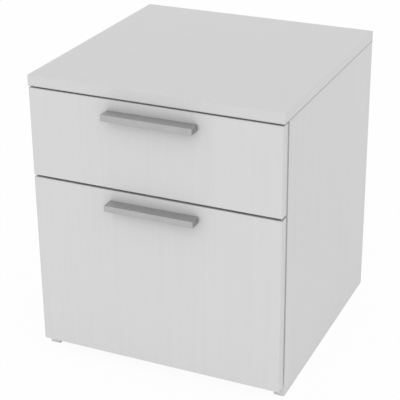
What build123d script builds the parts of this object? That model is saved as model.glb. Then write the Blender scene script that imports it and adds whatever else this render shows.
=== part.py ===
# A pedestal filing cabinet of laminate-faced board: a shallow drawer over a deep drawer for
# hanging files, each on a pair of three-part ball slides. Millimetres, +Z up, front towards -Y.
# The origin is on the floor, under the middle of the whole object with its handles.

import os

from build123d import *

# Overall size
width = 438.0  # across the side panels
depth = 439.0  # from the faces of the drawer fronts to the back
height = 503.0  # from the floor to the top face

# Boards
board = 18.0  # top, sides, bottom and drawer fronts
back_board = 16.0
box_board = 12.0  # walls of the drawer boxes
sheet = 5.0  # bottoms of the drawer boxes
edge_radius = 0.4  # eased edges of every board

# Drawer fronts
upper_front_height = 151.25
floor_clear = 19.9  # floor to the lower front and the bottom panel
front_gap = 4.1  # between the fronts
top_gap = 2.7  # between the upper front and the top panel
top_setback = 1.0  # front edge of the top panel behind the faces of the fronts
side_reveal = 1.5  # a front stops this short of the outer face of each side
bumper_gap = 2.6  # fronts stand this far off the front edges of the sides
bumper_play = 0.3  # bumpers are this much thinner than their gap
bumper_radius = 4.0
bumper_inset = 28.0  # from the upper and lower edges of a front

# Drawer boxes
box_lift = 26.0  # lower edge of a front to the lower edge of its box
upper_headroom = 32.0  # upper edge of a box to the upper edge of its front
lower_headroom = 42.0
rear_space = 50.0  # free depth behind the boxes
groove_lift = 9.0  # lower edge of a box to its bottom sheet
groove_depth = 6.0
groove_play = 0.15  # above and below the sheet
sheet_play = 0.5  # from the sheet's edge to the end of its groove

# Handles
handle_length = 156.0
handle_projection = 22.0
handle_height = 10.6
handle_drop = 18.0  # upper edge of a front to the top of its handle
handle_plate = 3.0  # top plate over the finger recess
handle_lip = 3.2  # front lip of the finger recess
handle_end = 20.0  # solid ends that take the screws
handle_radius = 0.5
handle_pitch = 128.0  # between the two screws
handle_bite = 10.0  # screw length inside the handle

# Slides, from the side panel (0) towards the drawer box
slide_space = 12.7  # between a side panel and a drawer box
slide_height = 45.0
slide_wall = 1.2
slide_setback = 2.4  # front edge of the sides to the slides
slide_rise = 47.0  # lower edge of a box to the middle of its slides
middle_short = 5.0  # the middle member stops this short at each end
web_gap = 0.4  # between neighbouring webs
flange_gap = 1.0  # flange tips to the drawer member's web
ball_radius = 1.7
ball_play = 0.2  # between balls and flanges
ball_count = 7  # in one row
ball_pitch = 17.0
cage_wall = 0.6
cage_end = 9.0  # cage beyond its last ball
pocket_play = 0.15  # between a ball and its pocket
slot_length = 46.0  # slots in the middle member's web
slot_width = 7.0
slot_inset = 70.0  # end of the middle member to the middle of a slot

# Hanging-file rails
rail_inset = 11.3  # inner face of a box side to the middle of its rail
rail_wall = 3.0
rail_height = 14.0
rail_rise = 6.0  # rails stand this far above the box
holder_width = 16.0
holder_depth = 9.0
holder_foot = 10.0  # below the rail
holder_play = 0.2
peg_radius = 3.0
peg_length = 8.0

# Fasteners
hole_play = 0.15  # around every screw, bolt, dowel and cam
recess_width = 1.1  # cross recess in the heads
recess_depth = 1.2
wood_screw_head = 3.6
wood_screw_shank = 1.9
wood_screw_cover = 2.5  # board left beyond the tip
slide_screw_inset = 35.0  # end of a slide to its end screws
box_screw_inset = 28.0  # upper and lower edges of a box to its corner screws
box_screw_length = 38.0
pan_head = 4.2
pan_head_height = 2.6
pan_shank = 2.0
front_screw_cover = 5.0  # front board left beyond the tip
front_screw_inset = 45.0  # inner face of a box side to the front screws
front_screw_edge = 26.0  # upper and lower edges of a box to the front screws
cam_radius = 7.4
cam_setback = 34.0  # from the joint to the middle of the cam
cam_cover = 4.5  # cam below the middle of its board
cam_inset = 60.0  # ends of a joint to its first cam
bolt_radius = 3.2
bolt_neck = 1.8
bolt_neck_length = 3.0
bolt_head_length = 4.0
bolt_thread = 2.5
bolt_thread_length = 11.0
dowel_radius = 4.0
dowel_bite = 11.0  # in the face of a board
dowel_edge = 18.0  # in the edge of a board
dowel_offset = 32.0  # from a cam to its dowel

# Planes that the pieces share
half_width = width / 2
inner_half = half_width - board
back_y = (depth + handle_projection) / 2
front_y = back_y - depth
front_back_y = front_y + board
carcass_y = front_back_y + bumper_gap
back_in_y = back_y - back_board
top_under = height - board
upper_high = top_under - top_gap
upper_low = upper_high - upper_front_height
lower_high = upper_low - front_gap
lower_low = floor_clear
box_half = inner_half - slide_space
box_in = box_half - box_board
slide_y = carcass_y + slide_setback
slide_length = back_in_y - rear_space - slide_y
box_back_y = slide_y + slide_length
box_front_in_y = front_back_y + box_board
box_back_in_y = box_back_y - box_board
rail_x = box_in - rail_inset

# Layers of a slide, outwards from its middle height and from the side panel
outer_ball_v = slide_height / 2 - slide_wall - ball_play - ball_radius
middle_half = outer_ball_v - ball_radius - ball_play
inner_ball_v = middle_half - slide_wall - ball_play - ball_radius
drawer_half = inner_ball_v - ball_radius - ball_play
outer_cage_u = slide_wall + web_gap
middle_u = outer_cage_u + cage_wall + web_gap
inner_cage_u = middle_u + slide_wall + web_gap
drawer_tip_u = inner_cage_u + cage_wall + web_gap
flange_tip_u = slide_space - slide_wall - flange_gap
ball_u = (drawer_tip_u + flange_tip_u) / 2

os.makedirs("parts", exist_ok=True)


def save(name, piece):
    piece.label = name
    export_step(piece, f"parts/{name}.step")


# Planes at the given points, all facing one way
def facing(points, z_dir, x_dir=None):
    return [Plane(origin=point, x_dir=x_dir, z_dir=z_dir) for point in points]


# A board between two opposite corners, with eased edges
def eased_board(low, high):
    with BuildPart() as blank:
        with Locations(low):
            Box(*(b - a for a, b in zip(low, high)), align=(Align.MIN,) * 3)
        fillet(blank.edges(), radius=edge_radius)
    return blank.part


# A mirror image on the left of a piece made on the right
def left_of(piece):
    with BuildPart() as image:
        mirror(piece, about=Plane.YZ)
    return image.part


# Copies of a fastener at each plane, as one group of solids
def group(fastener, planes):
    with BuildPart() as copies:
        with Locations(*planes):
            add(fastener)
    return copies.part


# Fasteners: the head's seat is at the origin and the shank runs down -Z
def pan_screw(length):
    recess = pan_head
    with BuildPart() as screw:
        Cylinder(pan_head, pan_head_height, align=(Align.CENTER, Align.CENTER, Align.MIN))
        fillet(screw.edges().group_by(Axis.Z)[-1], radius=pan_head_height / 2)
        Cylinder(pan_shank, length, align=(Align.CENTER, Align.CENTER, Align.MAX))
        with Locations((0, 0, pan_head_height)):
            Box(recess, recess_width, 2 * recess_depth, mode=Mode.SUBTRACT)
            Box(recess_width, recess, 2 * recess_depth, mode=Mode.SUBTRACT)
    return screw.part


def flat_screw(length):
    recess = wood_screw_head
    cone = wood_screw_head - wood_screw_shank
    with BuildPart() as screw:
        Cone(wood_screw_shank, wood_screw_head, cone, align=(Align.CENTER, Align.CENTER, Align.MAX))
        Cylinder(wood_screw_shank, length, align=(Align.CENTER, Align.CENTER, Align.MAX))
        Box(recess, recess_width, 2 * recess_depth, mode=Mode.SUBTRACT)
        Box(recess_width, recess, 2 * recess_depth, mode=Mode.SUBTRACT)
    return screw.part


# A countersunk hole for the part of a flat screw that lies deeper than sunk
def flat_screw_hole(sunk, depth):
    CounterSinkHole(
        radius=wood_screw_shank + hole_play,
        counter_sink_radius=wood_screw_head - sunk + hole_play,
        depth=depth,
        counter_sink_angle=90,
    )


# A cam disc flush with a board's face at the origin; its bolt arrives along +X
def cam_disc(thickness):
    with BuildPart() as disc:
        Cylinder(cam_radius, thickness / 2 + cam_cover, align=(Align.CENTER, Align.CENTER, Align.MAX))
        chamfer(disc.edges().group_by(Axis.Z)[-1], length=edge_radius)
        channel_width = 2 * (bolt_radius + hole_play)
        with Locations((-bolt_radius - hole_play, 0, -thickness / 2)):
            Box(
                2 * cam_radius,
                channel_width,
                channel_width,
                align=(Align.MIN, Align.CENTER, Align.CENTER),
                mode=Mode.SUBTRACT,
            )
        Box(cam_radius, recess_width, 2 * recess_depth, mode=Mode.SUBTRACT)
        Box(recess_width, cam_radius, 2 * recess_depth, mode=Mode.SUBTRACT)
    return disc.part


# A cam bolt with its collar at the origin, its thread along +Z and its head in the cam
def cam_bolt():
    neck_z = -cam_setback + bolt_head_length
    shank_z = neck_z + bolt_neck_length
    with BuildPart() as bolt:
        Cylinder(bolt_thread, bolt_thread_length, align=(Align.CENTER, Align.CENTER, Align.MIN))
        Cylinder(bolt_radius, -shank_z, align=(Align.CENTER, Align.CENTER, Align.MAX))
        with Locations((0, 0, neck_z)):
            Cylinder(bolt_neck, bolt_neck_length, align=(Align.CENTER, Align.CENTER, Align.MIN))
        with Locations((0, 0, -cam_setback)):
            Cylinder(bolt_radius, bolt_head_length, align=(Align.CENTER, Align.CENTER, Align.MIN))
    return bolt.part


# A dowel that stands dowel_bite above the origin and dowel_edge below it
def dowel():
    with BuildPart() as peg:
        with Locations((0, 0, dowel_bite)):
            Cylinder(
                dowel_radius,
                dowel_bite + dowel_edge,
                align=(Align.CENTER, Align.CENTER, Align.MAX),
            )
        chamfer(peg.edges().filter_by(GeomType.CIRCLE), length=edge_radius)
    return peg.part


# Holes in the face of a board for bolt threads and dowels, from planes that face out of it
def face_holes(bolt_planes, dowel_planes):
    with Locations(*bolt_planes):
        Hole(bolt_thread + hole_play, depth=bolt_thread_length + hole_play)
    with Locations(*dowel_planes):
        Hole(dowel_radius + hole_play, depth=dowel_bite + hole_play)


# Holes in the edge of a board for bolts and dowels, and bores in its face for the cams
def edge_holes(bolt_planes, dowel_planes, cam_planes, thickness):
    with Locations(*bolt_planes):
        Hole(bolt_radius + hole_play, depth=cam_setback)
    with Locations(*dowel_planes):
        Hole(dowel_radius + hole_play, depth=dowel_edge + hole_play)
    with Locations(*cam_planes):
        Hole(cam_radius + hole_play, depth=thickness / 2 + cam_cover + hole_play)


# Where the fittings of the three carcass joints stand along each joint
top_cams_y = (carcass_y + cam_inset, back_y - cam_inset)
top_dowels_y = (top_cams_y[0] + dowel_offset, top_cams_y[1] - dowel_offset)
bottom_cams_y = (carcass_y + cam_inset, back_in_y - cam_inset)
bottom_dowels_y = (bottom_cams_y[0] + dowel_offset, bottom_cams_y[1] - dowel_offset)
back_cams_z = (floor_clear + board + cam_inset, top_under - cam_inset)
back_dowels_z = (back_cams_z[0] + dowel_offset, back_cams_z[1] - dowel_offset)

side_mid_x = inner_half + board / 2
bottom_mid_z = floor_clear + board / 2
back_mid_y = back_y - back_board / 2
cam_x = inner_half - cam_setback
cam_z = top_under - cam_setback

# Joint places on the right, as points on the joint faces and on the faces that hold cams
top_bolts = [(side_mid_x, y, top_under) for y in top_cams_y]
top_dowels = [(side_mid_x, y, top_under) for y in top_dowels_y]
top_cams = [(inner_half, y, cam_z) for y in top_cams_y]
bottom_bolts = [(inner_half, y, bottom_mid_z) for y in bottom_cams_y]
bottom_dowels = [(inner_half, y, bottom_mid_z) for y in bottom_dowels_y]
bottom_cams = [(cam_x, y, floor_clear) for y in bottom_cams_y]
back_bolts = [(inner_half, back_mid_y, z) for z in back_cams_z]
back_dowels = [(inner_half, back_mid_y, z) for z in back_dowels_z]
back_cams = [(cam_x, back_in_y, z) for z in back_cams_z]


# Images of points on the left, and points with their images
def left(points):
    return [(-x, y, z) for x, y, z in points]


def both(points):
    return points + left(points)


# Slides: planes of the section at the front end, and screw places
def slide_section(slide_z, start):
    return Plane(origin=(inner_half, start, slide_z), x_dir=(-1, 0, 0), z_dir=(0, 1, 0))


def slide_screw_points(x, slide_z):
    first = slide_y + slide_screw_inset
    last = slide_y + slide_length - slide_screw_inset
    return [(x, y, slide_z) for y in (first, (first + last) / 2, last)]


# A channel whose web stands at web_u and whose flanges run to tip_u
def channel(section, web_u, tip_u, half_height, wall, length):
    middle = (web_u + tip_u) / 2
    open_side = wall if tip_u > web_u else -wall
    with BuildPart() as profile:
        with BuildSketch(section):
            with Locations((middle, 0)):
                Rectangle(abs(tip_u - web_u), 2 * half_height)
            with Locations((middle + open_side, 0)):
                Rectangle(abs(tip_u - web_u), 2 * (half_height - wall), mode=Mode.SUBTRACT)
        extrude(amount=length)
    return profile.part


def box_span(low, high, headroom):
    return low + box_lift, high - headroom


fronts = {
    "upper": (upper_low, upper_high, *box_span(upper_low, upper_high, upper_headroom)),
    "lower": (lower_low, lower_high, *box_span(lower_low, lower_high, lower_headroom)),
}
slide_heights = {name: span[2] + slide_rise for name, span in fronts.items()}
cabinet_screw_x = inner_half - slide_wall
drawer_screw_x = box_half + slide_wall
cabinet_screws = [
    point for z in slide_heights.values() for point in slide_screw_points(cabinet_screw_x, z)
]

# Top panel
top_blank = eased_board((-half_width, front_y + top_setback, top_under), (half_width, back_y, height))
with BuildPart() as top_panel:
    add(top_blank)
    face_holes(facing(both(top_bolts), (0, 0, -1)), facing(both(top_dowels), (0, 0, -1)))
save("top_panel", top_panel.part)

# Side panels, which run down to the floor
side_blank = eased_board((inner_half, carcass_y, 0), (half_width, back_y, top_under))
with BuildPart() as side_panel:
    add(side_blank)
    edge_holes(
        facing(top_bolts, (0, 0, 1)),
        facing(top_dowels, (0, 0, 1)),
        facing(top_cams, (-1, 0, 0)),
        board,
    )
    face_holes(
        facing(bottom_bolts + back_bolts, (-1, 0, 0)),
        facing(bottom_dowels + back_dowels, (-1, 0, 0)),
    )
    with Locations(*facing([(inner_half, y, z) for _, y, z in cabinet_screws], (-1, 0, 0))):
        flat_screw_hole(sunk=slide_wall, depth=board - wood_screw_cover + hole_play)
save("right_side_panel", side_panel.part)
save("left_side_panel", left_of(side_panel.part))

# Bottom panel between the sides
bottom_blank = eased_board(
    (-inner_half, carcass_y, floor_clear), (inner_half, back_in_y, floor_clear + board)
)
with BuildPart() as bottom_panel:
    add(bottom_blank)
    edge_holes(
        facing(bottom_bolts, (1, 0, 0)) + facing(left(bottom_bolts), (-1, 0, 0)),
        facing(bottom_dowels, (1, 0, 0)) + facing(left(bottom_dowels), (-1, 0, 0)),
        facing(both(bottom_cams), (0, 0, -1)),
        board,
    )
save("bottom_panel", bottom_panel.part)

# Back panel between the sides
back_blank = eased_board((-inner_half, back_in_y, floor_clear), (inner_half, back_y, top_under))
with BuildPart() as back_panel:
    add(back_blank)
    edge_holes(
        facing(back_bolts, (1, 0, 0)) + facing(left(back_bolts), (-1, 0, 0)),
        facing(back_dowels, (1, 0, 0)) + facing(left(back_dowels), (-1, 0, 0)),
        facing(both(back_cams), (0, -1, 0)),
        back_board,
    )
save("back_panel", back_panel.part)

# Cam discs, cam bolts and dowels of all carcass joints
board_cam = cam_disc(board)
back_cam = cam_disc(back_board)
with BuildPart() as right_cams:
    with Locations(*facing(top_cams, (-1, 0, 0), x_dir=(0, 0, 1))):
        add(board_cam)
    with Locations(*facing(bottom_cams, (0, 0, -1), x_dir=(1, 0, 0))):
        add(board_cam)
    with Locations(*facing(back_cams, (0, -1, 0), x_dir=(1, 0, 0))):
        add(back_cam)
with BuildPart() as cam_discs:
    add(right_cams.part)
    mirror(right_cams.part, about=Plane.YZ)
save("cam_discs", cam_discs.part)

bolt_planes = facing(both(top_bolts), (0, 0, 1))
bolt_planes += facing(bottom_bolts + back_bolts, (1, 0, 0))
bolt_planes += facing(left(bottom_bolts + back_bolts), (-1, 0, 0))
save("cam_bolts", group(cam_bolt(), bolt_planes))

dowel_planes = facing(both(top_dowels), (0, 0, 1))
dowel_planes += facing(bottom_dowels + back_dowels, (1, 0, 0))
dowel_planes += facing(left(bottom_dowels + back_dowels), (-1, 0, 0))
save("panel_dowels", group(dowel(), dowel_planes))

# Screws of the cabinet members
cabinet_screw = flat_screw(slide_wall + board - wood_screw_cover)
right_cabinet_screws = group(cabinet_screw, facing(cabinet_screws, (-1, 0, 0)))
with BuildPart() as cabinet_member_screws:
    add(right_cabinet_screws)
    mirror(right_cabinet_screws, about=Plane.YZ)
save("cabinet_member_screws", cabinet_member_screws.part)


# The three members, two ball cages and balls of the slides of one drawer
def build_slides(name, slide_z):
    section = slide_section(slide_z, slide_y)
    cabinet_points = slide_screw_points(cabinet_screw_x, slide_z)
    drawer_points = slide_screw_points(drawer_screw_x, slide_z)

    cabinet_channel = channel(section, 0, flange_tip_u, slide_height / 2, slide_wall, slide_length)
    with BuildPart() as cabinet_member:
        add(cabinet_channel)
        with Locations(*facing(cabinet_points, (-1, 0, 0))):
            flat_screw_hole(sunk=0, depth=2 * slide_wall)
    save(f"{name}_right_cabinet_member", cabinet_member.part)
    save(f"{name}_left_cabinet_member", left_of(cabinet_member.part))

    drawer_channel = channel(
        section, slide_space, drawer_tip_u, drawer_half, slide_wall, slide_length
    )
    with BuildPart() as drawer_member:
        add(drawer_channel)
        with Locations(*facing(drawer_points, (1, 0, 0))):
            flat_screw_hole(sunk=0, depth=2 * slide_wall)
    save(f"{name}_right_drawer_member", drawer_member.part)
    save(f"{name}_left_drawer_member", left_of(drawer_member.part))

    drawer_screw = flat_screw(slide_wall + box_board - wood_screw_cover)
    right_screws = group(drawer_screw, facing(drawer_points, (1, 0, 0)))
    with BuildPart() as drawer_member_screws:
        add(right_screws)
        mirror(right_screws, about=Plane.YZ)
    save(f"{name}_drawer_member_screws", drawer_member_screws.part)

    middle_length = slide_length - 2 * middle_short
    middle_channel = channel(
        slide_section(slide_z, slide_y + middle_short),
        middle_u,
        flange_tip_u,
        middle_half,
        slide_wall,
        middle_length,
    )
    web_plane = Plane(
        origin=(inner_half - middle_u, slide_y + slide_length / 2, slide_z),
        x_dir=(0, 1, 0),
        z_dir=(-1, 0, 0),
    )
    with BuildPart() as middle_member:
        add(middle_channel)
        with BuildSketch(web_plane):
            with GridLocations(middle_length - 2 * slot_inset, 1, 2, 1):
                SlotOverall(slot_length, slot_width)
        extrude(amount=slide_wall, mode=Mode.SUBTRACT)
    save(f"{name}_right_middle_member", middle_member.part)
    save(f"{name}_left_middle_member", left_of(middle_member.part))

    build_cage(name, "outer", slide_z, outer_cage_u, outer_ball_v)
    build_cage(name, "inner", slide_z, inner_cage_u, inner_ball_v)


# A ball cage: a thin channel whose flanges hold a row of balls above and below
def build_cage(name, layer, slide_z, web_u, ball_v):
    row_length = (ball_count - 1) * ball_pitch
    cage_length = row_length + 2 * (ball_radius + cage_end)
    middle_y = slide_y + slide_length / 2
    half_height = ball_v + cage_wall / 2
    cage_channel = channel(
        slide_section(slide_z, middle_y - cage_length / 2),
        web_u,
        flange_tip_u,
        half_height,
        cage_wall,
        cage_length,
    )
    row_plane = Plane(origin=(inner_half - ball_u, middle_y, slide_z), x_dir=(0, 1, 0))
    with BuildPart() as cage:
        add(cage_channel)
        with Locations(row_plane):
            with GridLocations(ball_pitch, 1, ball_count, 1):
                Cylinder(ball_radius + pocket_play, 2 * half_height, mode=Mode.SUBTRACT)
    save(f"{name}_right_{layer}_cage", cage.part)
    save(f"{name}_left_{layer}_cage", left_of(cage.part))

    with BuildPart() as row_pair:
        for v in (-ball_v, ball_v):
            with Locations(row_plane.offset(v)):
                with GridLocations(ball_pitch, 1, ball_count, 1):
                    Sphere(ball_radius)
    with BuildPart() as balls:
        add(row_pair.part)
        mirror(row_pair.part, about=Plane.YZ)
    save(f"{name}_{layer}_balls", balls.part)


# A handle: a bar with a finger recess below its top plate, between two solid ends
def build_handle(name, top_z):
    tip_y = front_y - handle_projection
    with BuildPart() as handle:
        with Locations((0, tip_y, top_z)):
            Box(
                handle_length,
                handle_projection,
                handle_height,
                align=(Align.CENTER, Align.MIN, Align.MAX),
            )
        back_edges = handle.edges().group_by(Axis.Y)[-1]
        fillet(handle.edges() - back_edges, radius=handle_radius)
        with Locations((0, front_y, top_z - handle_plate)):
            Box(
                handle_length - 2 * handle_end,
                handle_projection - handle_lip,
                handle_height,
                align=(Align.CENTER, Align.MAX, Align.MAX),
                mode=Mode.SUBTRACT,
            )
        with Locations(*facing(handle_screw_points(front_y, top_z), (0, 1, 0))):
            Hole(pan_shank + hole_play, depth=handle_bite + hole_play)
    save(f"{name}_handle", handle.part)

    screws = group(
        pan_screw(board + handle_bite),
        facing(handle_screw_points(front_back_y, top_z), (0, 1, 0)),
    )
    save(f"{name}_handle_screws", screws)


def handle_screw_points(y, top_z):
    return [(x, y, top_z - handle_height / 2) for x in (-handle_pitch / 2, handle_pitch / 2)]


# Screws from inside the box into the front
def front_screw_points(y, box_low, box_high):
    reach = box_in - front_screw_inset
    heights = (box_low + front_screw_edge, box_high - front_screw_edge)
    return [(x, y, z) for x in (-reach, reach) for z in heights]


# A drawer front with its screws and bumpers
def build_front(name, low, high, box_low, box_high):
    half = half_width - side_reveal
    handle_top = high - handle_drop
    screw_length = box_board + board - front_screw_cover
    blank = eased_board((-half, front_y, low), (half, front_back_y, high))
    with BuildPart() as front:
        add(blank)
        with Locations(*facing(handle_screw_points(front_back_y, handle_top), (0, 1, 0))):
            Hole(pan_shank + hole_play, depth=board)
        with Locations(*facing(front_screw_points(front_back_y, box_low, box_high), (0, 1, 0))):
            Hole(pan_shank + hole_play, depth=board - front_screw_cover + hole_play)
    save(f"{name}_drawer_front", front.part)

    screw_planes = facing(front_screw_points(box_front_in_y, box_low, box_high), (0, 1, 0))
    save(f"{name}_front_screws", group(pan_screw(screw_length), screw_planes))

    bumper_points = [(side_mid_x, front_back_y, z) for z in (low + bumper_inset, high - bumper_inset)]
    with BuildPart() as bumpers:
        with Locations(*facing(both(bumper_points), (0, 1, 0))):
            Cylinder(
                bumper_radius,
                bumper_gap - bumper_play,
                align=(Align.CENTER, Align.CENTER, Align.MIN),
            )
    save(f"{name}_bumpers", bumpers.part)


# Points on the outer face of the right box side, over the box's front and back
def box_screw_points(box_low, box_high):
    rows = (front_back_y + box_board / 2, box_back_y - box_board / 2)
    heights = (box_low + box_screw_inset, box_high - box_screw_inset)
    return [(box_half, y, z) for y in rows for z in heights]


# A drawer box with its bottom in grooves, and with peg holes where it carries file rails
def build_box(name, box_low, box_high, with_rails):
    sheet_low = box_low + groove_lift
    groove_low = sheet_low - groove_play
    groove_height = sheet + 2 * groove_play
    corner_screws = box_screw_points(box_low, box_high)
    end_depth = box_screw_length - box_board + hole_play
    slide_z = box_low + slide_rise

    side_blank = eased_board((box_in, front_back_y, box_low), (box_half, box_back_y, box_high))
    with BuildPart() as box_side:
        add(side_blank)
        with Locations((box_in, front_back_y, groove_low)):
            Box(
                groove_depth,
                box_back_y - front_back_y,
                groove_height,
                align=(Align.MIN,) * 3,
                mode=Mode.SUBTRACT,
            )
        with Locations(*facing(corner_screws, (1, 0, 0))):
            flat_screw_hole(sunk=0, depth=box_board)
        with Locations(*facing(slide_screw_points(box_half, slide_z), (1, 0, 0))):
            flat_screw_hole(sunk=slide_wall, depth=box_board - wood_screw_cover + hole_play)
    save(f"{name}_box_right_side", box_side.part)
    save(f"{name}_box_left_side", left_of(box_side.part))

    ends = {
        "front": (front_back_y, box_front_in_y, corner_screws[:2], 1),
        "back": (box_back_in_y, box_back_y, corner_screws[2:], -1),
    }
    for end, (y_low, y_high, screws, inward) in ends.items():
        inner_y = y_high if inward > 0 else y_low
        blank = eased_board((-box_in, y_low, box_low), (box_in, y_high, box_high))
        screw_ends = [(box_in, y, z) for _, y, z in screws]
        with BuildPart() as box_end:
            add(blank)
            with Locations((0, inner_y, groove_low + groove_height / 2)):
                Box(2 * box_in, 2 * groove_depth, groove_height, mode=Mode.SUBTRACT)
            with Locations(*facing(screw_ends, (1, 0, 0)), *facing(left(screw_ends), (-1, 0, 0))):
                Hole(wood_screw_shank + hole_play, depth=end_depth)
            if end == "front":
                with Locations(*facing(front_screw_points(inner_y, box_low, box_high), (0, 1, 0))):
                    Hole(pan_shank + hole_play, depth=box_board)
            if with_rails:
                pegs = both([(rail_x, inner_y, holder_peg_z(box_high))])
                with Locations(*facing(pegs, (0, inward, 0))):
                    Hole(peg_radius + hole_play, depth=peg_length + hole_play)
        save(f"{name}_box_{end}", box_end.part)

    reach = groove_depth - sheet_play
    with BuildPart() as bottom:
        with BuildSketch(Plane.XY.offset(sheet_low)):
            with Locations((0, (box_front_in_y + box_back_in_y) / 2)):
                Rectangle(2 * (box_in + reach), box_back_in_y - box_front_in_y + 2 * reach)
        extrude(amount=sheet)
    save(f"{name}_box_bottom", bottom.part)

    right_screws = group(flat_screw(box_screw_length), facing(corner_screws, (1, 0, 0)))
    with BuildPart() as box_screws:
        add(right_screws)
        mirror(right_screws, about=Plane.YZ)
    save(f"{name}_box_screws", box_screws.part)


# Steel rails for hanging files, in slotted holders pegged to the box's front and back
def build_rails(box_high):
    rail_top = box_high + rail_rise
    rail_low = rail_top - rail_height
    holder_low = rail_low - holder_foot
    rail_start = box_front_in_y + holder_play
    rail_end = box_back_in_y - holder_play
    with BuildPart() as rail:
        with Locations((rail_x, rail_start, rail_low)):
            Box(
                rail_wall,
                rail_end - rail_start,
                rail_height,
                align=(Align.CENTER, Align.MIN, Align.MIN),
            )
        fillet(rail.edges().filter_by(Axis.Y), radius=edge_radius)
    save("right_file_rail", rail.part)
    save("left_file_rail", left_of(rail.part))

    with BuildPart() as holder:
        with Locations((rail_x, box_front_in_y, holder_low)):
            Box(
                holder_width,
                holder_depth,
                rail_top - rail_rise / 2 - holder_low,
                align=(Align.CENTER, Align.MIN, Align.MIN),
            )
        inner_edges = holder.edges().group_by(Axis.Y)[-1]
        fillet(inner_edges, radius=2 * edge_radius)
        with Locations((rail_x, box_front_in_y, rail_low)):
            Box(
                rail_wall + 2 * holder_play,
                2 * holder_depth,
                2 * rail_height,
                align=(Align.CENTER, Align.CENTER, Align.MIN),
                mode=Mode.SUBTRACT,
            )
        with Locations(*facing([(rail_x, box_front_in_y, holder_peg_z(box_high))], (0, -1, 0))):
            Cylinder(peg_radius, peg_length, align=(Align.CENTER, Align.CENTER, Align.MIN))
    middle_plane = Plane.XZ.offset(-(box_front_in_y + box_back_in_y) / 2)
    with BuildPart() as front_pair:
        add(holder.part)
        mirror(holder.part, about=Plane.YZ)
    with BuildPart() as file_rail_holders:
        add(front_pair.part)
        mirror(front_pair.part, about=middle_plane)
    save("file_rail_holders", file_rail_holders.part)


# Height of the holders' pegs, in the foot below the rail
def holder_peg_z(box_high):
    return box_high + rail_rise - rail_height - holder_foot / 2


for drawer, (low, high, box_low, box_high) in fronts.items():
    build_front(drawer, low, high, box_low, box_high)
    build_handle(drawer, high - handle_drop)
    build_slides(drawer, slide_heights[drawer])
    build_box(drawer, box_low, box_high, with_rails=drawer == "lower")
build_rails(fronts["lower"][3])
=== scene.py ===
import math
import bmesh
import bpy
import numpy as np
from mathutils import Euler, Matrix, Vector


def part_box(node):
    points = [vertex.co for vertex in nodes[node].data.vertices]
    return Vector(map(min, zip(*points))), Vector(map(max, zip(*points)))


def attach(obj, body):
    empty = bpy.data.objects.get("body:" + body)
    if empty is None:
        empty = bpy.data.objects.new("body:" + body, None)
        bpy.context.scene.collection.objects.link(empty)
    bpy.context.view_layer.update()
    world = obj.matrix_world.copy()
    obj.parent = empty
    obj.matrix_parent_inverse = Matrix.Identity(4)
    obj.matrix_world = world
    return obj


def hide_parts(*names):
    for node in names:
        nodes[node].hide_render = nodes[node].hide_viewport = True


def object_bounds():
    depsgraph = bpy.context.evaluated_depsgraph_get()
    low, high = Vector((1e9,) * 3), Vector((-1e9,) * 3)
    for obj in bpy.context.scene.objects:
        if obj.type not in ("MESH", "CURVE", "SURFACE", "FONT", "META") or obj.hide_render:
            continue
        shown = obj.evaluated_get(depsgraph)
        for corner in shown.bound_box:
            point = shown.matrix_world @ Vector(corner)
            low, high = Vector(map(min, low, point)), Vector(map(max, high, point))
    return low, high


# A white pedestal of laminate-faced board, a shallow drawer over a file drawer. Metres, front towards -Y.

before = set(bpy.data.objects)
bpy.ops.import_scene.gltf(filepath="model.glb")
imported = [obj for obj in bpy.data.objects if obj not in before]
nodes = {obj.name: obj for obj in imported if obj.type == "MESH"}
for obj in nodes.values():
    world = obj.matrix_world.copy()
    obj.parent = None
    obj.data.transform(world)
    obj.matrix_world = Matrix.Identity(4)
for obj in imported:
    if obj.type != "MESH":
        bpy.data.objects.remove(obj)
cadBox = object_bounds()
print("frame loaded with", len(nodes), "nodes")


photoView = {
    "place": (0.7981, -1.7851, 1.1512),
    "turn": 23.37,  # degrees to the left of +Y
    "tilt": 23.32,  # degrees down
    "roll": -0.152,
    "lens": 110.76,
    "sensor": 36.0,
    "shift": (-0.0527, -0.0977),
    "clip": (0.05, 60.0),
}


def addCamera(view):
    data = bpy.data.cameras.new("photoCamera")
    data.lens = view["lens"]
    data.sensor_width = view["sensor"]
    data.shift_x, data.shift_y = view["shift"]
    data.clip_start, data.clip_end = view["clip"]
    camera = bpy.data.objects.new("photoCamera", data)
    heading = Euler((math.radians(90 - view["tilt"]), 0, math.radians(view["turn"])))
    roll = Matrix.Rotation(math.radians(view["roll"]), 3, "Z")
    camera.rotation_euler = (heading.to_matrix() @ roll).to_euler()
    camera.location = view["place"]
    bpy.context.scene.collection.objects.link(camera)
    bpy.context.scene.camera = camera


addCamera(photoView)
print("camera placed")


# settings are node properties, values are unlinked sockets, feeds are links
def addNode(tree, kind, settings=None, values=None, feeds=None):
    node = tree.nodes.new(kind)
    for key, value in (settings or {}).items():
        setattr(node, key, value)
    for key, value in (values or {}).items():
        node.inputs[key].default_value = value
    for key, source in (feeds or {}).items():
        tree.links.new(source, node.inputs[key])
    return node


def newMaterial(name, values):
    material = bpy.data.materials.new(name)
    material.use_nodes = True
    tree = material.node_tree
    shader = tree.nodes["Principled BSDF"]
    for key, value in values.items():
        shader.inputs[key].default_value = value
    return material, tree, shader


def grey(level):
    return (level, level, level, 1)


def scaled(colour, share):
    return tuple(c * share for c in colour[:3]) + (1,)


noiseGrades = {  # detail and roughness
    "soft": (2.0, 0.5),
    "lines": (3.0, 0.6),
    "streaks": (4.0, 0.6),
    "chips": (3.0, 0.7),
    "fibres": (4.0, 0.7),
}
noiseMiddle = (0.3, 0.7)  # where most values of a noise lie
fullRange = (0.0, 1.0)


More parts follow.
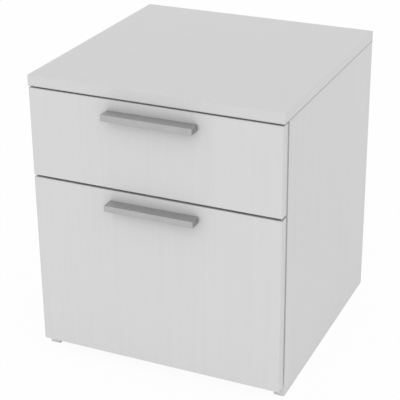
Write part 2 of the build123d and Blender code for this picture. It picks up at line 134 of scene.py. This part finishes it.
# Noise on Object coordinates, where cells is the number of features per metre along x, y and z
def noise(tree, cells, grade):
    detail, rough = noiseGrades[grade]
    coords = addNode(tree, "ShaderNodeTexCoord")
    mapping = addNode(
        tree, "ShaderNodeMapping", values={"Scale": cells}, feeds={"Vector": coords.outputs["Object"]}
    )
    field = addNode(
        tree,
        "ShaderNodeTexNoise",
        values={"Scale": 1.0, "Detail": detail, "Roughness": rough},
        feeds={"Vector": mapping.outputs["Vector"]},
    )
    return field.outputs["Fac"]


def remap(tree, source, fromRange, toRange):
    values = {
        "From Min": fromRange[0],
        "From Max": fromRange[1],
        "To Min": toRange[0],
        "To Max": toRange[1],
    }
    node = addNode(tree, "ShaderNodeMapRange", values=values, feeds={"Value": source})
    return node.outputs["Result"]


def calculate(tree, operation, first, second):
    node = addNode(tree, "ShaderNodeMath", settings={"operation": operation})
    for socket, source in zip(node.inputs, (first, second)):
        if isinstance(source, float):
            socket.default_value = source
        else:
            tree.links.new(source, socket)
    return node.outputs["Value"]


def mixColour(tree, factor, first, second):
    node = addNode(tree, "ShaderNodeMix", settings={"data_type": "RGBA"})
    tree.links.new(factor, node.inputs["Factor"])
    colourSockets = [socket for socket in node.inputs if socket.type == "RGBA"]
    for socket, colour in zip(colourSockets, (first, second)):
        if isinstance(colour, tuple):
            socket.default_value = colour
        else:
            tree.links.new(colour, socket)
    return next(socket for socket in node.outputs if socket.type == "RGBA")


def addBump(tree, shader, relief, bump):
    strength, depth = bump
    node = addNode(
        tree,
        "ShaderNodeBump",
        values={"Strength": strength, "Distance": depth},
        feeds={"Height": relief},
    )
    tree.links.new(node.outputs["Normal"], shader.inputs["Normal"])


# Puts a finish's colour, its changing gloss and its relief onto the shader
def applyLook(tree, shader, colour, gloss, relief, look):
    tree.links.new(colour, shader.inputs["Base Color"])
    tree.links.new(remap(tree, gloss, noiseMiddle, look["roughness"]), shader.inputs["Roughness"])
    addBump(tree, shader, relief, look["bump"])


def heightOf(tree):
    coords = addNode(tree, "ShaderNodeTexCoord")
    parts = addNode(tree, "ShaderNodeSeparateXYZ", feeds={"Vector": coords.outputs["Object"]})
    return parts.outputs["Z"]


facingCosines = (0.90, 0.95)  # between these a face comes to count as facing an axis


# Mask of the faces that look along one axis, towards its low or its high end
def facing(tree, axis, sign):
    geometry = addNode(tree, "ShaderNodeNewGeometry")
    parts = addNode(tree, "ShaderNodeSeparateXYZ", feeds={"Vector": geometry.outputs["Normal"]})
    limits = [sign * cosine for cosine in facingCosines]
    return remap(tree, parts.outputs[axis], limits, fullRange)


aboveFloor = (0.025, 0.065)  # heights between which the two darkenings below come in


def clearOfFloor(tree):
    return remap(tree, heightOf(tree), aboveFloor, fullRange)


# Painted shade: close to the pulls the fronts' colour darkens, by a power of the share of their surroundings
# that is closed off
paintedPullShade = {"reach": 0.04, "rays": 8, "power": 3.0, "dark": grey(0.03)}


def paintCornerShade(tree, colour, look, where):
    opening = addNode(
        tree,
        "ShaderNodeAmbientOcclusion",
        settings={"samples": look["rays"]},
        values={"Distance": look["reach"]},
    )
    closed = calculate(tree, "SUBTRACT", 1.0, opening.outputs["AO"])
    depth = calculate(tree, "POWER", closed, look["power"])
    share = calculate(tree, "MULTIPLY", depth, clearOfFloor(tree))
    return mixColour(tree, calculate(tree, "MULTIPLY", share, where), colour, look["dark"])


# Painted shade for bounced light: seen from another matt face, the finish is nearly black, which keeps joints
# and the corners round the pulls dark
jointShade = grey(0.02)


def dampBounce(tree, colour, where=1.0):
    path = addNode(tree, "ShaderNodeLightPath")
    share = calculate(tree, "MULTIPLY", path.outputs["Is Diffuse Ray"], clearOfFloor(tree))
    return mixColour(tree, calculate(tree, "MULTIPLY", share, where), colour, jointShade)


# Painted shade at the joint under the top: both boards turn grey towards it, the top's front edge less so
paintedSeamShade = {
    "height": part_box("top_panel")[0][2],
    "reach": 0.0021,
    "shade": grey(0.37),
    "atFront": 0.45,
}


def paintSeamShade(tree, colour, look):
    away = calculate(tree, "SUBTRACT", heightOf(tree), look["height"])
    near = remap(tree, calculate(tree, "ABSOLUTE", away, 0.0), (0.0, look["reach"]), (1.0, 0.0))
    part = remap(tree, facing(tree, "Y", -1), fullRange, (1.0, look["atFront"]))
    return mixColour(tree, calculate(tree, "MULTIPLY", near, part), colour, look["shade"])


# Laminate on board: faint streaks along the grain, finer pores, and chipboard where an edge is left raw
laminateLook = {
    "shader": {"Specular IOR Level": 0.4},
    "light": grey(0.676),
    "shade": grey(0.662),
    "streaks": 190.0,  # per metre across the grain
    "streakRange": (0.35, 0.65),
    "pores": 1500.0,
    "poreRange": (0.56, 0.72),
    "poreShare": 0.5,
    "stretch": 42.0,  # how much longer than wide
    "roughness": (0.42, 0.50),
    "bump": (0.35, 0.00002),  # strength and depth
    "core": (0.46, 0.33, 0.20, 1),
    "chips": (0.30, 0.20, 0.11, 1),
    "chipCells": 420.0,
    "chipRange": (0.4, 0.6),
}


def grainCells(across, stretch, axis):
    cells = [across] * 3
    cells[axis] = across / stretch
    return cells


def laminate(name, look, grainAxis, rawBelow=False, tone=1.0, figure=1.0, use=""):
    material, tree, shader = newMaterial(name, look["shader"])
    streaks = noise(tree, grainCells(look["streaks"], look["stretch"], grainAxis), "streaks")
    pores = noise(tree, grainCells(look["pores"], look["stretch"], grainAxis), "soft")
    light = scaled(look["light"], tone)
    shade = scaled(look["shade"], tone)
    figureRange = (0.5 - figure / 2, 0.5 + figure / 2)
    colour = mixColour(tree, remap(tree, streaks, look["streakRange"], figureRange), light, shade)
    poreShare = remap(tree, pores, look["poreRange"], (0.0, look["poreShare"] * figure))
    colour = mixColour(tree, poreShare, colour, shade)
    if rawBelow:
        chips = noise(tree, [look["chipCells"]] * 3, "chips")
        core = mixColour(tree, remap(tree, chips, look["chipRange"], fullRange), look["core"], look["chips"])
        colour = mixColour(tree, facing(tree, "Z", -1), colour, core)
    if use == "front":
        # painted shade round the pulls on the front faces
        colour = paintCornerShade(tree, colour, paintedPullShade, facing(tree, "Y", -1))
    if use == "side":
        # painted shade at the joint under the top
        colour = paintSeamShade(tree, colour, paintedSeamShade)
    if use == "top":
        # painted shade for bounced light on the underside of the top
        colour = dampBounce(tree, colour, facing(tree, "Z", -1))
    applyLook(tree, shader, colour, streaks, pores, look)
    return material


# Edging strip: plain and a little smoother than the faces
edgingLook = {
    "shader": {"Specular IOR Level": 0.4},
    "light": grey(0.662),
    "shade": grey(0.652),
    "cells": 900.0,
    "roughness": (0.38, 0.46),
    "bump": (0.1, 0.00001),
}


def edgingPlastic(name, look, withSeamShade=False):
    material, tree, shader = newMaterial(name, look["shader"])
    speckle = noise(tree, [look["cells"]] * 3, "soft")
    colour = mixColour(tree, remap(tree, speckle, noiseMiddle, fullRange), look["light"], look["shade"])
    if withSeamShade:
        # painted shade at the joint under the top
        colour = paintSeamShade(tree, colour, paintedSeamShade)
    # painted shade for bounced light on all edging
    applyLook(tree, shader, dampBounce(tree, colour), speckle, speckle, look)
    return material


# Metal with fine lines along one axis and a slow change of gloss
zincLook = {
    "shader": {"Metallic": 1.0},
    "light": (0.60, 0.61, 0.63, 1),
    "shade": (0.47, 0.48, 0.49, 1),
    "lines": 2600.0,
    "stretch": 30.0,
    "clouds": 140.0,
    "cloudRange": (0.35, 0.75),
    "cloudShare": 0.5,
    "roughness": (0.24, 0.42),
    "bump": (0.2, 0.00001),
}
pullLook = {
    **zincLook,
    "light": grey(0.525),
    "shade": grey(0.462),
    "lines": 5200.0,
    "stretch": 60.0,
    "clouds": 35.0,
    "roughness": (0.40, 0.52),
    "bump": (0.2, 0.000008),
    "ends": grey(0.40),  # painted shade: darker end faces, for how light falls on them
}
cageLook = {
    **zincLook,
    "light": (0.44, 0.43, 0.40, 1),
    "shade": (0.33, 0.32, 0.30, 1),
}
ballLook = {
    **zincLook,
    "light": grey(0.66),
    "shade": grey(0.60),
    "roughness": (0.08, 0.14),
    "bump": (0.2, 0.000001),
}
fittingLook = {
    **zincLook,
    "light": (0.52, 0.52, 0.50, 1),
    "shade": (0.38, 0.38, 0.36, 1),
    "stretch": 1.0,
}


def metal(name, look, axis, isPull=False):
    material, tree, shader = newMaterial(name, look["shader"])
    lines = noise(tree, grainCells(look["lines"], look["stretch"], axis), "lines")
    clouds = noise(tree, [look["clouds"]] * 3, "soft")
    colour = mixColour(tree, remap(tree, lines, noiseMiddle, fullRange), look["light"], look["shade"])
    cloudShare = remap(tree, clouds, look["cloudRange"], (0.0, look["cloudShare"]))
    colour = mixColour(tree, cloudShare, colour, look["shade"])
    if isPull:
        # painted shade on the pull's end faces, those that look along X
        for sign in (-1, 1):
            colour = mixColour(tree, facing(tree, "X", sign), colour, look["ends"])
        # painted shade for bounced light off the pulls
        colour = dampBounce(tree, colour)
    applyLook(tree, shader, colour, clouds, lines, look)
    return material


# Bottom sheet: white face above, brown hardboard below
sheetLook = {
    "shader": {"Roughness": 0.55, "Specular IOR Level": 0.35},
    "face": grey(0.62),
    "worn": grey(0.56),
    "wornShare": 0.25,
    "brown": (0.23, 0.13, 0.07, 1),
    "pale": (0.34, 0.21, 0.12, 1),
    "fibres": (700.0, 280.0, 700.0),  # longer along y
    "fibreRange": (0.35, 0.65),
    "bump": (0.2, 0.00003),
}


def hardboard(name, look):
    material, tree, shader = newMaterial(name, look["shader"])
    fibres = noise(tree, look["fibres"], "fibres")
    raw = mixColour(tree, remap(tree, fibres, look["fibreRange"], fullRange), look["brown"], look["pale"])
    worn = remap(tree, fibres, noiseMiddle, (0.0, look["wornShare"]))
    whiteFace = mixColour(tree, worn, look["face"], look["worn"])
    colour = mixColour(tree, facing(tree, "Z", -1), whiteFace, raw)
    tree.links.new(colour, shader.inputs["Base Color"])
    addBump(tree, shader, fibres, look["bump"])
    return material


beechLook = {
    "shader": {"Roughness": 0.6},
    "light": (0.56, 0.36, 0.19, 1),
    "shade": (0.42, 0.25, 0.12, 1),
    "flecks": (900.0, 900.0, 90.0),  # longer along z
    "fleckRange": (0.35, 0.65),
    "bump": (0.2, 0.00003),
}


def beech(name, look):
    material, tree, shader = newMaterial(name, look["shader"])
    flecks = noise(tree, look["flecks"], "lines")
    colour = mixColour(tree, remap(tree, flecks, look["fleckRange"], fullRange), look["light"], look["shade"])
    tree.links.new(colour, shader.inputs["Base Color"])
    addBump(tree, shader, flecks, look["bump"])
    return material


# Moulded pieces: grey plastic rail holders and soft bumpers, with a fine even texture
holderLook = {
    "shader": {"Specular IOR Level": 0.45},
    "light": grey(0.105),
    "shade": grey(0.085),
    "cells": 2600.0,
    "roughness": (0.42, 0.56),
    "bump": (0.25, 0.00002),
}
bumperLook = {
    **holderLook,
    "light": grey(0.52),
    "shade": grey(0.46),
    "cells": 800.0,
    "roughness": (0.30, 0.42),
}


def moulded(name, look):
    material, tree, shader = newMaterial(name, look["shader"])
    texture = noise(tree, [look["cells"]] * 3, "soft")
    colour = mixColour(tree, remap(tree, texture, noiseMiddle, fullRange), look["light"], look["shade"])
    applyLook(tree, shader, colour, texture, texture, look)
    return material


alongX, alongY, alongZ = 0, 1, 2
frontLaminate = laminate("frontLaminate", laminateLook, alongZ, use="front")
backLaminate = laminate("backLaminate", laminateLook, alongZ)
# tone: painted light on the sides, a touch lighter, and painted shade on the top, a touch darker than the
# fronts, for how light falls on them
sideLaminate = laminate(
    "sideLaminate", laminateLook, alongZ, rawBelow=True, tone=1.006, figure=0.7, use="side"
)
topLaminate = laminate("topLaminate", laminateLook, alongX, tone=0.982, figure=0.25, use="top")
boxSideLaminate = laminate("boxSideLaminate", laminateLook, alongY, rawBelow=True, tone=0.95)
boxEndLaminate = laminate("boxEndLaminate", laminateLook, alongX, rawBelow=True, tone=0.95)
whiteEdging = edgingPlastic("whiteEdging", edgingLook)
topEdging = edgingPlastic("topEdging", edgingLook, withSeamShade=True)
pullMetal = metal("pullMetal", pullLook, alongX, isPull=True)
slideZinc = metal("slideZinc", zincLook, alongY)
cageStrip = metal("cageStrip", cageLook, alongY)
ballSteel = metal("ballSteel", ballLook, alongY)
fittingZinc = metal("fittingZinc", fittingLook, alongY)
bottomSheet = hardboard("bottomSheet", sheetLook)
dowelBeech = beech("dowelBeech", beechLook)
holderPlastic = moulded("holderPlastic", holderLook)
bumperRubber = moulded("bumperRubber", bumperLook)

# The finish of each node, by the end of its name
finishes = (
    ("_drawer_front", frontLaminate),
    ("_side_panel", sideLaminate),
    ("back_panel", backLaminate),
    ("top_panel", topLaminate),
    ("bottom_panel", topLaminate),
    ("_box_left_side", boxSideLaminate),
    ("_box_right_side", boxSideLaminate),
    ("_box_front", boxEndLaminate),
    ("_box_back", boxEndLaminate),
    ("_box_bottom", bottomSheet),
    ("_handle", pullMetal),
    ("_member", slideZinc),
    ("_rail", slideZinc),
    ("_cage", cageStrip),
    ("_balls", ballSteel),
    ("_screws", fittingZinc),
    ("cam_discs", fittingZinc),
    ("cam_bolts", fittingZinc),
    ("panel_dowels", dowelBeech),
    ("rail_holders", holderPlastic),
    ("_bumpers", bumperRubber),
)
for nodeName, node in nodes.items():
    finish = next(material for ending, material in finishes if nodeName.endswith(ending))
    node.data.materials.clear()
    node.data.materials.append(finish)
print("finishes given to", len(nodes), "nodes")


weldDistance = 0.000001


def addPiece(name, points, faces, material, body):
    mesh = bpy.data.meshes.new(name)
    mesh.from_pydata(points.reshape(-1, 3).tolist(), [], faces)
    cleaner = bmesh.new()
    cleaner.from_mesh(mesh)
    bmesh.ops.remove_doubles(cleaner, verts=cleaner.verts, dist=weldDistance)
    bmesh.ops.recalc_face_normals(cleaner, faces=cleaner.faces)
    cleaner.to_mesh(mesh)
    cleaner.free()
    mesh.materials.append(material)
    piece = bpy.data.objects.new(name, mesh)
    bpy.context.scene.collection.objects.link(piece)
    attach(piece, body)
    return piece


# Quads between the rows of a grid whose columns run round a closed section
def gridFaces(rows, columns, closedRows):
    index = np.arange(rows * columns).reshape(rows, columns)
    nextRow = np.roll(index, -1, axis=0)
    quads = np.stack([index, nextRow, np.roll(nextRow, -1, axis=1), np.roll(index, -1, axis=1)], axis=-1)
    return (quads if closedRows else quads[:-1]).reshape(-1, 4).tolist()


edging = {"thick": 0.0010, "proud": 0.00004, "round": 0.0002, "steps": 6}


# Section of a strip: a flat back inside the board, and two quarter circles between its sides and its face
def stripSection(half, look):
    turn = np.linspace(-math.pi / 2, 0, look["steps"])
    corner = half + look["proud"] - look["round"]
    arcOut = look["proud"] - look["round"] + look["round"] * np.cos(turn)
    arcOver = -corner + look["round"] * np.sin(turn)
    side = half + look["proud"]
    outward = np.concatenate(([-look["thick"]], arcOut, arcOut[::-1], [-look["thick"]]))
    over = np.concatenate(([-side], arcOver, -arcOver[::-1], [side]))
    return outward, over


# A ring round a board: the section at each corner of the outline, its outward value added along both edges
def ringAround(nodeName, across, look):
    low, high = (np.array(corner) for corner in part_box(nodeName))
    middle, half = (low + high) / 2, (high - low) / 2
    outward, over = stripSection(half[across], look)
    signs = np.array([(-1, -1), (1, -1), (1, 1), (-1, 1)])
    points = np.zeros((4, len(outward), 3))
    points[..., across] = middle[across] + over
    for column, axis in enumerate(a for a in range(3) if a != across):
        points[..., axis] = middle[axis] + signs[:, column, None] * (half[axis] + outward)
    return points, gridFaces(4, len(outward), True)


# A straight bar on one edge face: the section at both ends of the edge, with its outward value along one axis
def barAlong(nodeName, outAxis, outSign, across, look):
    low, high = (np.array(corner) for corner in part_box(nodeName))
    along = 3 - outAxis - across
    outward, over = stripSection((high - low)[across] / 2, look)
    points = np.zeros((2, len(outward), 3))
    points[..., across] = (low + high)[across] / 2 + over
    points[..., outAxis] = (high if outSign > 0 else low)[outAxis] + outSign * outward
    points[..., along] = np.array([low[along] + look["round"], high[along] - look["round"]])[:, None]
    columns = list(range(len(outward)))
    caps = [columns, [column + len(outward) for column in columns]]
    return points, gridFaces(2, len(outward), False) + caps


for edged, across, body, strip in (
    ("upper_drawer_front", alongY, "upper_drawer", whiteEdging),
    ("lower_drawer_front", alongY, "lower_drawer", whiteEdging),
    ("top_panel", alongZ, "cabinet", topEdging),
):
    points, faces = ringAround(edged, across, edging)
    addPiece(edged + "_edging", points, faces, strip, body)
for edged, across in (("left_side_panel", alongX), ("right_side_panel", alongX), ("bottom_panel", alongZ)):
    points, faces = barAlong(edged, alongY, -1, across, edging)
    addPiece(edged + "_edging", points, faces, whiteEdging, "cabinet")
for drawer in ("upper", "lower"):
    for board, across in (("left_side", alongX), ("right_side", alongX), ("front", alongY), ("back", alongY)):
        edged = f"{drawer}_box_{board}"
        points, faces = barAlong(edged, alongZ, 1, across, edging)
        addPiece(edged + "_edging", points, faces, whiteEdging, drawer + "_drawer")
print("edging laid on the boards")


bumper = {"radius": 0.004, "rise": 0.55, "steps": 9, "sides": 28}


# Domed bumpers: a lathe turn about Y whose radius falls as cos(t)^0.5 while its height grows as sin(t)^rise
def bumperDomes(nodeName, look):
    low, high = (np.array(corner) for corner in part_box(nodeName))
    t = np.linspace(0, math.pi / 2, look["steps"])
    radius = np.concatenate(([0.0], look["radius"] * np.sqrt(np.abs(np.cos(t)))))
    height = np.concatenate(([0.0], (high - low)[1] * np.sin(t) ** look["rise"]))
    radius[-1] = 0.0
    angle = np.linspace(0, 2 * math.pi, look["sides"], endpoint=False)
    dome = np.zeros((len(t) + 1, look["sides"], 3))
    dome[..., 0] = radius[:, None] * np.cos(angle)
    dome[..., 1] = height[:, None]
    dome[..., 2] = radius[:, None] * np.sin(angle)
    xs = np.array([low[0], high[0]]) + np.array([1, -1]) * look["radius"]
    zs = np.array([low[2], high[2]]) + np.array([1, -1]) * look["radius"]
    centres = np.array([(x, low[1], z) for x in xs for z in zs])
    points = centres[:, None, None, :] + dome
    one = np.array(gridFaces(len(t) + 1, look["sides"], False))
    shifts = np.arange(len(centres)) * dome.shape[0] * dome.shape[1]
    return points, (one[None] + shifts[:, None, None]).reshape(-1, 4).tolist()


for drawer in ("upper", "lower"):
    points, faces = bumperDomes(drawer + "_bumpers", bumper)
    domesName = drawer + "_bumper_domes"
    domes = addPiece(domesName, points, faces, bumperRubber, drawer + "_drawer")
    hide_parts(drawer + "_bumpers")
    domes.data.shade_smooth()
print("bumpers domed")


studio = {
    "sky": 0.808,
    "floorTone": 0.95,
    "floorWhite": 0.94,  # share of plain white in what the camera sees of the floor
    "floorSize": 14.0,
    "floorDrop": 0.0002,  # below the feet
    "key": 0.66,
    "keyFrom": (0.31, -0.90, 0.60),
    "keySpread": 70.0,  # degrees
}


def seenDirectly(tree):
    path = addNode(tree, "ShaderNodeLightPath")
    seen = calculate(tree, "MAXIMUM", path.outputs["Is Camera Ray"], path.outputs["Is Glossy Ray"])
    return calculate(tree, "MAXIMUM", seen, path.outputs["Is Transmission Ray"])


def addSky(look):
    world = bpy.data.worlds.new("studioSky")
    bpy.context.scene.world = world
    world.use_nodes = True
    tree = world.node_tree
    lit = tree.nodes["Background"]
    lit.inputs["Color"].default_value = grey(1.0)
    lit.inputs["Strength"].default_value = look["sky"]
    seen = addNode(tree, "ShaderNodeBackground", values={"Color": grey(1.0), "Strength": 1.0})
    mixed = addNode(tree, "ShaderNodeMixShader", feeds={0: seenDirectly(tree)})
    tree.links.new(lit.outputs["Background"], mixed.inputs[1])
    tree.links.new(seen.outputs["Background"], mixed.inputs[2])
    tree.links.new(mixed.outputs["Shader"], tree.nodes["World Output"].inputs["Surface"])


def addFloor(look):
    half = look["floorSize"] / 2
    under = cadBox[0][2] - look["floorDrop"]
    mesh = bpy.data.meshes.new("floor")
    corners = [(-half, -half, under), (half, -half, under), (half, half, under), (-half, half, under)]
    mesh.from_pydata(corners, [], [(0, 1, 2, 3)])
    material = bpy.data.materials.new("paleFloor")
    material.use_nodes = True
    tree = material.node_tree
    tree.nodes.remove(tree.nodes["Principled BSDF"])
    matt = addNode(tree, "ShaderNodeBsdfDiffuse", values={"Color": grey(look["floorTone"])})
    white = addNode(tree, "ShaderNodeEmission", values={"Color": grey(1.0), "Strength": 1.0})
    share = calculate(tree, "MULTIPLY", seenDirectly(tree), look["floorWhite"])
    mixed = addNode(tree, "ShaderNodeMixShader", feeds={0: share})
    tree.links.new(matt.outputs["BSDF"], mixed.inputs[1])
    tree.links.new(white.outputs["Emission"], mixed.inputs[2])
    tree.links.new(mixed.outputs["Shader"], tree.nodes["Material Output"].inputs["Surface"])
    mesh.materials.append(material)
    floor = bpy.data.objects.new("floor", mesh)
    bpy.context.scene.collection.objects.link(floor)


def addKey(look):
    data = bpy.data.lights.new("softKey", "SUN")
    data.energy = look["key"]
    data.angle = math.radians(look["keySpread"])
    lamp = bpy.data.objects.new("softKey", data)
    lamp.rotation_euler = (-Vector(look["keyFrom"])).to_track_quat("-Z", "Y").to_euler()
    bpy.context.scene.collection.objects.link(lamp)


addSky(studio)
addFloor(studio)
addKey(studio)
bpy.context.scene.view_settings.view_transform = "Standard"
print("studio lit")
